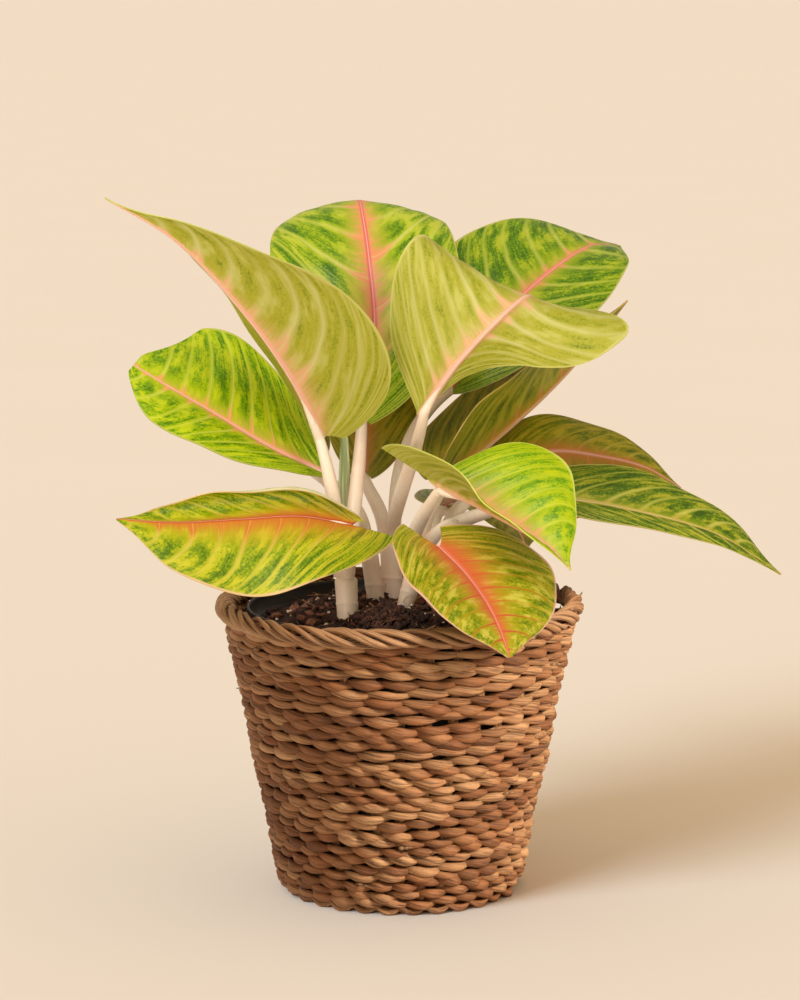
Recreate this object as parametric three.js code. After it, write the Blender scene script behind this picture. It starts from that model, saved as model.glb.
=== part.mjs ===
// Potted Chinese evergreen in a woven rush basket.
// Millimetres, +Z up, +X to the right of the front view, +Y to the back.
// Origin: centre of the flat underside of the basket.
import * as THREE from 'three';

// Basket
const WALL_HEIGHT = 141;
const WALL_FOOT_Z = 6;
const WALL_FOOT_RADIUS = 63.3;
const WALL_FLARE = 0.197;
const WALL_THICKNESS = 6;
const COURSES = 28;
const COURSE_RELIEF = 1.1;
const RIM_RADIUS = 88.6;
const RIM_CENTRE_Z = 145.1;
const RIM_CORD = 4.2;
const RIM_STRANDS = 30;
const BASE_RADIUS = 64;
const BASE_THICKNESS = 5.7;

// Nursery pot: outer profile from the floor up, then the inner one
const POT_FLOOR_Z = 6.1;
const POT_WALL = 1.6;
const POT_TOP_Z = 146;
const POT_FOOT_RADIUS = 55;
const POT_NECK_RADIUS = 75;
const POT_LIP_RADIUS = 78;
const POT_LIP_HEIGHT = 9;

// Soil
const SOIL_RADIUS = 73;
const SOIL_EDGE_Z = 137;
const SOIL_MOUND = 8;
const SOIL_FLAT = 42;

const BLADE_THICKNESS = 0.9;
const CLEARANCE = 0.35;
const PETIOLE_FOOT = 2.5;
const PETIOLE_HEAD = 2.3;
const PETIOLE_SWELL = 0.7;

// Stems: foot and top on the axis, with both radii
const STEMS = {
  left: { foot: [-26, -30, 145.4], top: [-27, -27, 166], radii: [5.2, 5.8] },
  middle: { foot: [-12, 14, 145.4], top: [-16, 13, 172], radii: [4.4, 4.6] },
  centre: { foot: [-4, 26, 145.4], top: [-5, 25, 176], radii: [5.6, 5.4] },
  right: { foot: [2, 0, 145.4], top: [9, -1, 168], radii: [4, 5.2] },
  back: { foot: [17, 18, 145.4], top: [19, 18, 170], radii: [4.6, 5] },
};

// Leaves. rib: midrib from the petiole to the tip; face: where the upper side looks at base,
// middle and tip; half: widest half width, left and right of the midrib seen from above;
// left and right: degrees each half rises towards the face at base, middle and tip; curl:
// degrees each margin turns towards the face, left and right, at base, middle and tip; lobe:
// how far the basal lobes reach back; bulk: where the blade is widest, early to late, with
// bulkLeft for a left half that differs;
// tuck: how much closer the petiole head sits to the blade; stem: the stem that carries it;
// seat: place on the stem top; knee: bend of the petiole.
const LEAVES = [
  {
    name: 'upper_left', stem: 'left', seat: [-3.1, 0.3], knee: [-32, -20, 206],
    rib: [[-39, -14, 234], [-54, -30, 266], [-78, -48, 302], [-108, -62, 335], [-140, -70, 355]],
    face: [[0.5, 0.6, 0.6], [0.45, 0.7, 0.6], [0.5, 0.5, 0.6]],
    half: [50, 38], left: [30, 30, 20], right: [34, 38, 36], bulk: [0.6, 1.5],
    bulkLeft: [0.62, 1.75], curl: [[0, -10, -20], [-10, -10, -10]], lobe: [5, 5], tuck: 0.5,
  },
  {
    name: 'top_centre', stem: 'left', seat: [1.6, 3], knee: [-20, -4, 216],
    rib: [
      [-19, 12, 241], [-13, 18, 282], [-16, 36, 320], [-21, 76, 346], [-22, 120, 334], [-23, 146, 304],
    ],
    face: [[0.1, -0.9, 0.3], [0.05, -0.7, 0.6], [0, 0.3, 1]],
    half: [50, 47], left: [20, -8, -12], right: [20, -5, -12], bulk: [0.72, 0.95],
    curl: [[-25, -30, -30], [-15, -25, -30]], lobe: [4, 4], tuck: -0.3,
  },
  {
    name: 'right_front', stem: 'centre', seat: [1, -3], knee: [8, -12, 222],
    rib: [[12, -22, 248], [27, -32, 271], [47, -36, 293], [62, -22, 304], [69, 6, 298]],
    face: [[0, 0.9, 0.3], [-0.05, 0.92, -0.02], [-0.05, 0.08, -0.95]],
    half: [54, 57], left: [20, 15, 0], right: [20, 10, 0], bulk: [1.05, 0.9], bulkLeft: [1.7, 0.2],
    curl: [[0, 0, 0], [0, 0, 0]], lobe: [4, 4], tuck: -0.4,
  },
  {
    name: 'top_right', stem: 'centre', seat: [2.4, 2.4], knee: [-4, 49, 230],
    rib: [[27, 42, 253], [52, 56, 286], [77, 76, 308], [101, 100, 321], [118, 124, 320]],
    face: [[-0.3, -0.8, 0.4], [-0.25, -0.85, 0.55], [-0.1, -0.5, 0.9]],
    half: [48, 38], left: [15, 10, 5], right: [15, 10, 5], bulk: [0.7, 0.8],
    curl: [[-10, -10, -10], [-25, -25, -25]], lobe: [4, 4],
  },
  {
    name: 'right_folded', stem: 'right', seat: [1.6, 2.8], knee: [13, 4, 192],
    rib: [[21, 2, 209], [47, 19, 227], [75, 32, 250], [99, 44, 274], [118, 54, 296]],
    face: [[-0.7, 0, 0.7], [-0.7, 0, 0.7], [-0.6, 0.1, 0.8]],
    half: [48, 42], left: [32, 32, 30], right: [34, 34, 30], bulk: [0.6, 1.2], bulkLeft: [0.55, 1.2],
    curl: [[0, 0, 0], [-10, -10, -10]], lobe: [3, 3],
  },
  {
    name: 'left_middle', stem: 'middle', seat: [-2.2, -2.2], knee: [-32, 12, 200],
    rib: [[-39, -2, 214], [-65, -6, 227], [-95, -10, 246], [-118, -12, 260], [-133, -10, 269]],
    face: [[0.4, -0.6, 0.7], [0.48, -0.6, 0.7], [0.4, -0.5, 0.8]],
    half: [28, 50], left: [25, 12, -10], right: [15, 15, 5], bulk: [0.8, 0.42],
    curl: [[-20, -20, -10], [-10, -10, 0]], lobe: [4, 4],
  },
  {
    name: 'lower_left', stem: 'left', seat: [1.1, -3], knee: [-20, -36, 186],
    rib: [[-24, -38, 193], [-49, -50, 199], [-78, -60, 199], [-109, -70, 199], [-136, -78, 202]],
    face: [[0, -0.5, 0.85], [0.1, -0.4, 0.9], [0.1, -0.4, 0.9]],
    half: [44, 25], left: [4, -20, -20], right: [0, -24, -28], bulk: [0.6, 0.95],
    bulkLeft: [0.72, 0.95], curl: [[-25, -15, -10], [230, 200, 60]], lobe: [24, 8], tuck: -0.25,
  },
  {
    name: 'front_small', stem: 'right', seat: [2, -2.8], knee: [42, -4, 198],
    rib: [[19, -50, 184], [31, -64, 174], [42, -80, 161], [48, -92, 150], [52, -101, 139]],
    face: [[0.3, -0.5, 0.8], [0.33, -0.49, 0.81], [0.3, -0.6, 0.7]],
    half: [43, 38], left: [12, 10, 5], right: [12, 10, 5], bulk: [0.5, 0.85],
    curl: [[-10, -10, -10], [-10, -10, -10]], lobe: [12, 20],
  },
  {
    name: 'front_right', stem: 'right', seat: [-3.2, -0.4], knee: [10, -22, 192],
    rib: [[20, -35, 211], [38, -48, 204], [56, -62, 196], [71, -74, 188], [82, -82, 178]],
    face: [[0.5, 0.15, 0.85], [0.5, 0.15, 0.85], [0.5, 0, 0.85]],
    half: [47, 24], left: [76, 70, 62], right: [34, 0, 0], bulk: [0.45, 1], bulkLeft: [0.8, 1.3],
    curl: [[-25, -30, -30], [30, 0, 0]], lobe: [6, 38], tuck: 0.8,
  },
  {
    name: 'right_back', stem: 'back', seat: [3, 1.8], knee: [32, 20, 194],
    rib: [[46, 20, 212], [77, 24, 221], [103, 28, 218], [126, 30, 212], [145, 32, 201]],
    face: [[-0.2, -0.5, 0.8], [0, -0.5, 0.8], [0.3, -0.5, 0.8]],
    half: [25, 38], left: [15, 15, 10], right: [-20, -20, -10], bulk: [0.6, 1.2],
    curl: [[-20, -20, -20], [-25, -25, -25]], lobe: [4, 4], tuck: 0.5,
  },
  {
    name: 'far_right', stem: 'back', seat: [0.4, -3], knee: [38, 4, 190],
    rib: [[58, -2, 200], [88, -4, 200], [122, -6, 194], [160, -8, 183], [192, -10, 163]],
    face: [[0, -0.5, 0.8], [0.1, -0.5, 0.8], [0.4, -0.4, 0.8]],
    half: [25, 14], left: [20, 20, 10], right: [10, 15, 10], bulk: [0.6, 1],
    curl: [[-20, -20, -20], [-30, -30, -30]], lobe: [3, 3],
  },
  {
    name: 'back_centre', stem: 'centre', seat: [-3, 0.8], knee: [-16, 32, 196],
    rib: [[-19, 42, 208], [-18, 56, 236], [-14, 76, 258], [-12, 102, 272], [-12, 132, 270]],
    face: [[0, -0.9, 0.4], [0, -0.7, 0.7], [0, 0, 1]],
    half: [22, 28], left: [10, 8, 5], right: [10, 8, 5], bulk: [0.6, 1],
    curl: [[-15, -15, -15], [-15, -15, -15]], lobe: [4, 4],
  },
  {
    name: 'back_left', stem: 'middle', seat: [-1.2, 3.1], knee: [-24, 26, 198],
    rib: [[-48, 34, 214], [-64, 54, 232], [-84, 76, 243], [-102, 96, 244], [-116, 114, 236]],
    face: [[0.4, -0.5, 0.9], [0.3, -0.3, 0.9], [-0.2, 0.2, 0.9]],
    half: [31, 29], left: [10, 10, 5], right: [10, 10, 5], bulk: [0.6, 1],
    curl: [[-15, -15, -15], [-15, -15, -15]], lobe: [4, 4],
  },
  {
    name: 'back_right', stem: 'back', seat: [-2.6, 2], knee: [18, 34, 190],
    rib: [[24, 44, 190], [36, 64, 190], [50, 86, 184], [62, 106, 172], [70, 124, 154]],
    face: [[-0.3, -0.4, 0.9], [-0.2, -0.3, 0.9], [0.2, 0.3, 0.9]],
    half: [34, 34], left: [10, 10, 5], right: [10, 10, 5], bulk: [0.6, 1],
    curl: [[-15, -15, -15], [-15, -15, -15]], lobe: [4, 4],
  },
];

const SPEAR = { from: [-30, -10, 145.4], knee: [-28, -3, 200], to: [-28, 3, 240] };

const COLOURS = {
  rush: 0xb98252,
  rim: 0xc08a5a,
  pot: 0x1d1a19,
  soil: 0x3b2118,
  stem: 0xe6cdb4,
  bright: 0xa9bc2a,
  dark: 0x6f8a22,
  spear: 0x8a9a62,
};

const DARK_LEAVES = [
  'right_folded', 'far_right', 'back_centre', 'back_left', 'back_right', 'top_right',
];
const STATIONS = 10;
const ACROSS = 3;

const vec = (p) => new THREE.Vector3(p[0], p[1], p[2]);
const blend = (list, u) => {
  const at = Math.min(u, 0.99999) * (list.length - 1);
  const k = Math.floor(at);
  const s = at - k;
  if (typeof list[k] === 'number') return list[k] * (1 - s) + list[k + 1] * s;
  return vec(list[k]).lerp(vec(list[k + 1]), s);
};

// Width of a blade along the midrib, 1 at its widest
function bladeOutline(u, bulk) {
  const [early, late] = bulk;
  const widest = early / (early + late);
  const peak = Math.pow(widest, early) * Math.pow(1 - widest, late);
  const taper = Math.min(1, Math.max(0, (u - 0.8) / 0.2));
  const point = 1 - 0.4 * taper * taper * (3 - 2 * taper);
  return point * Math.pow(u * 0.992 + 0.008, early) * Math.pow(1.008 - u, late) / peak;
}

// Point of a blade: u along the midrib, t from -1 (left margin) to 1 (right margin)
function bladePoint(leaf, curve, u, t) {
  const point = curve.getPointAt(u);
  const along = curve.getTangentAt(u);
  const face = blend(leaf.face, u);
  face.addScaledVector(along, -face.dot(along)).normalize();
  const across = new THREE.Vector3().crossVectors(along, face);
  const hand = t < 0 ? 0 : 1;
  const bulk = hand === 0 && leaf.bulkLeft ? leaf.bulkLeft : leaf.bulk;
  const width = leaf.half[hand] * bladeOutline(u, bulk);
  const lift = blend(hand ? leaf.right : leaf.left, u);
  const curl = blend(leaf.curl[hand], u);
  const steps = 12;
  const reach = Math.abs(t) * width / steps;
  for (let k = 0; k < steps; k += 1) {
    const s = Math.abs(t) * (k + 0.5) / steps;
    const angle = THREE.MathUtils.degToRad(lift + curl * s * s);
    point.addScaledVector(across, (hand ? 1 : -1) * Math.cos(angle) * reach);
    point.addScaledVector(face, Math.sin(angle) * reach);
  }
  const back = leaf.lobe[hand] * Math.pow(Math.max(0, 1 - u / 0.4), 2) * Math.pow(Math.abs(t), 1.5);
  return point.addScaledVector(along, -back);
}

// Closed solid from a grid of points, thickened on both sides
function thicken(grid, thickness) {
  const rows = grid.length;
  const cols = grid[0].length;
  const positions = [];
  const index = [];
  for (const side of [1, -1]) {
    for (let i = 0; i < rows; i += 1) {
      for (let j = 0; j < cols; j += 1) {
        const du = grid[Math.min(i + 1, rows - 1)][j].clone().sub(grid[Math.max(i - 1, 0)][j]);
        const dt = grid[i][Math.min(j + 1, cols - 1)].clone().sub(grid[i][Math.max(j - 1, 0)]);
        const normal = dt.cross(du).normalize();
        const p = grid[i][j].clone().addScaledVector(normal, side * thickness / 2);
        positions.push(p.x, p.y, p.z);
      }
    }
  }
  const at = (side, i, j) => side * rows * cols + i * cols + j;
  const quad = (a, b, c, d) => index.push(a, b, c, a, c, d);
  for (let i = 0; i + 1 < rows; i += 1) {
    for (let j = 0; j + 1 < cols; j += 1) {
      quad(at(0, i, j), at(0, i, j + 1), at(0, i + 1, j + 1), at(0, i + 1, j));
      quad(at(1, i, j), at(1, i + 1, j), at(1, i + 1, j + 1), at(1, i, j + 1));
    }
    quad(at(0, i, 0), at(0, i + 1, 0), at(1, i + 1, 0), at(1, i, 0));
    quad(at(0, i, cols - 1), at(1, i, cols - 1), at(1, i + 1, cols - 1), at(0, i + 1, cols - 1));
  }
  for (let j = 0; j + 1 < cols; j += 1) {
    quad(at(0, 0, j), at(1, 0, j), at(1, 0, j + 1), at(0, 0, j + 1));
    quad(at(0, rows - 1, j), at(0, rows - 1, j + 1), at(1, rows - 1, j + 1), at(1, rows - 1, j));
  }
  return closed(positions, index);
}

function closed(positions, index) {
  const geometry = new THREE.BufferGeometry();
  geometry.setAttribute('position', new THREE.Float32BufferAttribute(positions, 3));
  geometry.setIndex(index);
  geometry.computeVertexNormals();
  return geometry;
}

// Closed tube along a curve with a radius for each station
function tube(curve, radius, stations, sides) {
  const positions = [];
  const index = [];
  let side = new THREE.Vector3(1, 0, 0);
  for (let i = 0; i < stations; i += 1) {
    const u = i / (stations - 1);
    const centre = curve.getPointAt(u);
    const along = curve.getTangentAt(u);
    side = side.clone().addScaledVector(along, -side.dot(along)).normalize();
    const up = new THREE.Vector3().crossVectors(along, side);
    for (let j = 0; j < sides; j += 1) {
      const a = 2 * Math.PI * j / sides;
      const p = centre.clone();
      p.addScaledVector(side, radius(u) * Math.cos(a));
      p.addScaledVector(up, radius(u) * Math.sin(a));
      positions.push(p.x, p.y, p.z);
    }
  }
  const foot = curve.getPointAt(0);
  const head = curve.getPointAt(1);
  positions.push(foot.x, foot.y, foot.z, head.x, head.y, head.z);
  const last = stations * sides;
  for (let j = 0; j < sides; j += 1) {
    const k = (j + 1) % sides;
    for (let i = 0; i + 1 < stations; i += 1) {
      const a = i * sides;
      const b = a + sides;
      index.push(a + j, a + k, b + k, a + j, b + k, b + j);
    }
    index.push(last, k, j);
    index.push(last + 1, last - sides + j, last - sides + k);
  }
  return closed(positions, index);
}

// Closed body turned about Z from a closed outline of [radius, z]
function turned(outline, segments) {
  const points = outline.map((p) => new THREE.Vector2(p[0], p[1]));
  points.push(points[0].clone());
  return new THREE.LatheGeometry(points, segments).rotateX(Math.PI / 2);
}

function basketWall() {
  const outline = [];
  const radiusAt = (z) => WALL_FOOT_RADIUS + WALL_FLARE * (z - WALL_FOOT_Z);
  const pitch = (WALL_HEIGHT - WALL_FOOT_Z) / COURSES;
  for (let k = 0; k < COURSES; k += 1) {
    const z = WALL_FOOT_Z + k * pitch;
    outline.push([radiusAt(z) - COURSE_RELIEF, z]);
    outline.push([radiusAt(z + pitch / 2), z + pitch / 2]);
  }
  outline.push([radiusAt(WALL_HEIGHT) - COURSE_RELIEF, WALL_HEIGHT]);
  outline.push([radiusAt(WALL_HEIGHT) - WALL_THICKNESS, WALL_HEIGHT]);
  outline.push([radiusAt(WALL_FOOT_Z) - WALL_THICKNESS, WALL_FOOT_Z]);
  return turned(outline, 30);
}

function basketBase() {
  const edge = BASE_RADIUS - 3;
  const outline = [[0, 0], [edge - 3, 0], [edge + 1.4, 1.4], [BASE_RADIUS, 4], [edge + 2, BASE_THICKNESS]];
  outline.push([0, BASE_THICKNESS]);
  const points = outline.map((p) => new THREE.Vector2(p[0], p[1]));
  return new THREE.LatheGeometry(points, 36).rotateX(Math.PI / 2);
}

// Rim cord: a ring with slanting strands
function basketRim() {
  const around = RIM_STRANDS * 3;
  const sides = 6;
  const positions = [];
  const index = [];
  for (let i = 0; i < around; i += 1) {
    const a = 2 * Math.PI * i / around;
    for (let j = 0; j < sides; j += 1) {
      const b = 2 * Math.PI * j / sides;
      const strand = Math.abs(Math.sin(a * RIM_STRANDS / 2 + b));
      const cord = RIM_CORD * (0.86 + 0.14 * strand);
      const r = RIM_RADIUS + cord * Math.cos(b);
      positions.push(r * Math.cos(a), r * Math.sin(a), RIM_CENTRE_Z + cord * Math.sin(b));
    }
  }
  for (let i = 0; i < around; i += 1) {
    for (let j = 0; j < sides; j += 1) {
      const a = i * sides;
      const b = ((i + 1) % around) * sides;
      const k = (j + 1) % sides;
      index.push(a + j, b + j, b + k, a + j, b + k, a + k);
    }
  }
  return closed(positions, index);
}

function nurseryPot() {
  const outline = [[0, POT_FLOOR_Z], [POT_FOOT_RADIUS, POT_FLOOR_Z]];
  outline.push([POT_NECK_RADIUS, POT_TOP_Z - POT_LIP_HEIGHT]);
  outline.push([POT_LIP_RADIUS, POT_TOP_Z - POT_LIP_HEIGHT]);
  outline.push([POT_LIP_RADIUS, POT_TOP_Z]);
  outline.push([POT_LIP_RADIUS - POT_WALL, POT_TOP_Z]);
  outline.push([POT_NECK_RADIUS - POT_WALL + 0.9, POT_TOP_Z - POT_LIP_HEIGHT]);
  outline.push([POT_FOOT_RADIUS - POT_WALL, POT_FLOOR_Z + POT_WALL]);
  outline.push([0, POT_FLOOR_Z + POT_WALL]);
  const points = outline.map((p) => new THREE.Vector2(p[0], p[1]));
  return new THREE.LatheGeometry(points, 36).rotateX(Math.PI / 2);
}

function soilBody() {
  const foot = POT_FOOT_RADIUS - POT_WALL - CLEARANCE;
  const outline = [[0, POT_FLOOR_Z + POT_WALL + CLEARANCE], [foot, POT_FLOOR_Z + POT_WALL + CLEARANCE]];
  outline.push([SOIL_RADIUS, SOIL_EDGE_Z - 0.6]);
  outline.push([SOIL_RADIUS - 2, SOIL_EDGE_Z]);
  outline.push([SOIL_RADIUS - 14, SOIL_EDGE_Z + SOIL_MOUND * 0.4]);
  outline.push([SOIL_FLAT, SOIL_EDGE_Z + SOIL_MOUND]);
  outline.push([0, SOIL_EDGE_Z + SOIL_MOUND]);
  const points = outline.map((p) => new THREE.Vector2(p[0], p[1]));
  return new THREE.LatheGeometry(points, 36).rotateX(Math.PI / 2);
}

function petioleRadius(u) {
  const even = PETIOLE_FOOT * (1 - u) + PETIOLE_HEAD * u;
  return even + PETIOLE_SWELL * Math.sin(Math.PI * u);
}

// Petiole from the stem top to just under the base of the blade
function petioleCurve(leaf) {
  const stem = STEMS[leaf.stem];
  const foot = vec(stem.top).add(vec([leaf.seat[0], leaf.seat[1], CLEARANCE]));
  const rib = new THREE.CatmullRomCurve3(leaf.rib.map(vec), false, 'centripetal');
  const along = rib.getTangentAt(0);
  const face = vec(leaf.face[0]);
  face.addScaledVector(along, -face.dot(along)).normalize();
  const base = rib.getPointAt(0);
  const knee = vec(leaf.knee);
  const arrival = base.clone().sub(knee).normalize();
  const drop = THREE.MathUtils.degToRad(-Math.min(leaf.left[0], leaf.right[0], 0));
  const slant = PETIOLE_HEAD * Math.sqrt(1 - arrival.dot(face) ** 2);
  const under = slant + PETIOLE_HEAD * Math.tan(drop) - (leaf.tuck || 0);
  base.addScaledVector(face, -(BLADE_THICKNESS / 2 + CLEARANCE + under));
  const rise = foot.clone().add(vec([0, 0, 16]));
  return new THREE.CubicBezierCurve3(foot, rise, knee, base);
}

// Stem with level ends
function stemBody(stem) {
  const sides = 12;
  const positions = [];
  const index = [];
  for (const [end, place] of [stem.foot, stem.top].entries()) {
    for (let j = 0; j < sides; j += 1) {
      const a = 2 * Math.PI * j / sides;
      const r = stem.radii[end];
      positions.push(place[0] + r * Math.cos(a), place[1] + r * Math.sin(a), place[2]);
    }
  }
  positions.push(...stem.foot, ...stem.top);
  for (let j = 0; j < sides; j += 1) {
    const k = (j + 1) % sides;
    index.push(j, k, sides + k, j, sides + k, sides + j);
    index.push(2 * sides, k, j, 2 * sides + 1, sides + j, sides + k);
  }
  return closed(positions, index);
}

const plant = new THREE.Group();
plant.name = 'potted_chinese_evergreen';

function add(name, geometry, colour, roughness) {
  const material = new THREE.MeshStandardMaterial({ color: colour, roughness, metalness: 0 });
  const mesh = new THREE.Mesh(geometry, material);
  mesh.name = name;
  plant.add(mesh);
}

add('basket_base', basketBase(), COLOURS.rush, 0.8);
add('basket_wall', basketWall(), COLOURS.rush, 0.8);
add('basket_rim', basketRim(), COLOURS.rim, 0.8);
add('nursery_pot', nurseryPot(), COLOURS.pot, 0.5);
add('soil', soilBody(), COLOURS.soil, 1);

for (const [name, stem] of Object.entries(STEMS)) {
  add(`stem_${name}`, stemBody(stem), COLOURS.stem, 0.5);
}

for (const leaf of LEAVES) {
  const curve = new THREE.CatmullRomCurve3(leaf.rib.map(vec), false, 'centripetal');
  const grid = [];
  for (let i = 0; i < STATIONS; i += 1) {
    const row = [];
    for (let j = -ACROSS; j <= ACROSS; j += 1) {
      row.push(bladePoint(leaf, curve, i / (STATIONS - 1), j / ACROSS));
    }
    grid.push(row);
  }
  const colour = DARK_LEAVES.includes(leaf.name) ? COLOURS.dark : COLOURS.bright;
  add(`blade_${leaf.name}`, thicken(grid, BLADE_THICKNESS), colour, 0.4);
  add(`petiole_${leaf.name}`, tube(petioleCurve(leaf), petioleRadius, 8, 7), COLOURS.stem, 0.5);
}

const spearCurve = new THREE.CatmullRomCurve3([vec(SPEAR.from), vec(SPEAR.knee), vec(SPEAR.to)]);
add('new_leaf', tube(spearCurve, (u) => 0.6 + 3 * Math.pow(Math.sin(Math.PI * (0.12 + 0.86 * u)), 0.7), 9, 8),
  COLOURS.spear, 0.5);

export default plant;
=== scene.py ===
import math

import bpy
import numpy as np
from mathutils import Euler, Matrix, Vector, noise


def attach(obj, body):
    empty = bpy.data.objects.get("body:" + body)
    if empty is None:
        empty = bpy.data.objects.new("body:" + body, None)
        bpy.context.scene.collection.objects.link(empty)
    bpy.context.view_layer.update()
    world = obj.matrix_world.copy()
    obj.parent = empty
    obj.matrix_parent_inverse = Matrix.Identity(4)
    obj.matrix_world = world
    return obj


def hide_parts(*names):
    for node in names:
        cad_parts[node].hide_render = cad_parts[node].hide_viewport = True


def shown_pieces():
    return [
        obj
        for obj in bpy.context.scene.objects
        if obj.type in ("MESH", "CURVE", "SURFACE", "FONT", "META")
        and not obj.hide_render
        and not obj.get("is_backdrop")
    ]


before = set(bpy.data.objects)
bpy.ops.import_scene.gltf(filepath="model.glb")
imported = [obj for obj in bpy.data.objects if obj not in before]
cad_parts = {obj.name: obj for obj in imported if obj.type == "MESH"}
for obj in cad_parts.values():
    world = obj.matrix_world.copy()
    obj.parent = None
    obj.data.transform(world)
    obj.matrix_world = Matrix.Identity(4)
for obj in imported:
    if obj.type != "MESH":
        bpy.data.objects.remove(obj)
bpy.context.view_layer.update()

MM = 0.001
TURN = 2 * math.pi
CHANCE = np.random.default_rng(7)

# Basket. WEAVE_DEPTH and WEAVE_RISE are how far a rush swings out and up as it twists.
FOOT_RADIUS = 63.3
FOOT_Z = 6
FLARE = 0.197
COURSES = 30
COURSE_FIRST_Z = 2.9
COURSE_LAST_Z = 141.2
STITCHES_ROUND = 29.5
STAKES = 36
STAKE_DEPTH = 6.4
STAKE_FOOT_Z = 3
STAKE_TOP_Z = 143
WEAVE_DEPTH = 2.4
WEAVE_RISE = 0.6
RUSH_TALL = 2.5
RUSH_THICK = 1.9
BASE_TURNS = 13
BASE_TWISTS = 99
BASE_PITCH = 4.45
BASE_Z = 3.6
FLOOR_CLEARANCE = 0.1
RIM_RADIUS = 88.6
RIM_Z = 145.1
RIM_STRANDS = 7
RIM_STRAND_RADIUS = 1.5
RIM_CORD_RADIUS = 3.5
RIM_TURNS = 10
LOOSE_ENDS = 46
LOOSE_ENDS_ON_RIM = 24

# Nursery pot and soil, as in the solid model
POT_FLOOR_Z = 6.1
POT_WALL = 1.6
POT_TOP_Z = 146
POT_FOOT = 55
POT_NECK = 75
POT_LIP = 78
POT_LIP_HEIGHT = 9
SOIL_RADIUS = 73
SOIL_EDGE_Z = 137
SOIL_MOUND = 8
SOIL_FLAT = 42

# A heap of loose soil in front of the stems: middle, spread and height
HEAP_X = -7
HEAP_Y = -45
HEAP_SPREAD = 10
HEAP_HEIGHT = 8

# Blades are BLADE thick in the solid model and SHEET thick here. A petiole's head tapers to
# PETIOLE_HEAD in the solid model, GAP below the blade, and is a little fuller here.
BLADE = 0.9
SHEET = 0.6
BLADE_COLUMNS = 96
BLADE_ROWS = 44
CURL_STEPS = 12
VEINS_A_SIDE = 8
VEIN_BEND = 0.42
QUILT = 0.5
WAVE = 0.9
RIDGE = 2.0
CHANNEL = 0.35
GAP = 0.35
PETIOLE_FOOT = 2.5
PETIOLE_HEAD = 2.3
PETIOLE_SWELL = 0.7
STALK_FULLNESS = 1.16

NEW_LEAF = [(-30, -10, 145.4), (-28, -3, 200), (-28, 3, 240)]

STEMS = {
    "left": dict(foot=(-26, -30, 145.4), top=(-27, -27, 166), radii=(5.2, 5.8)),
    "middle": dict(foot=(-12, 14, 145.4), top=(-16, 13, 172), radii=(4.4, 4.6)),
    "centre": dict(foot=(-4, 26, 145.4), top=(-5, 25, 176), radii=(5.6, 5.4)),
    "right": dict(foot=(2, 0, 145.4), top=(9, -1, 168), radii=(4, 5.2)),
    "back": dict(foot=(17, 18, 145.4), top=(19, 18, 170), radii=(4.6, 5)),
}

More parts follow.
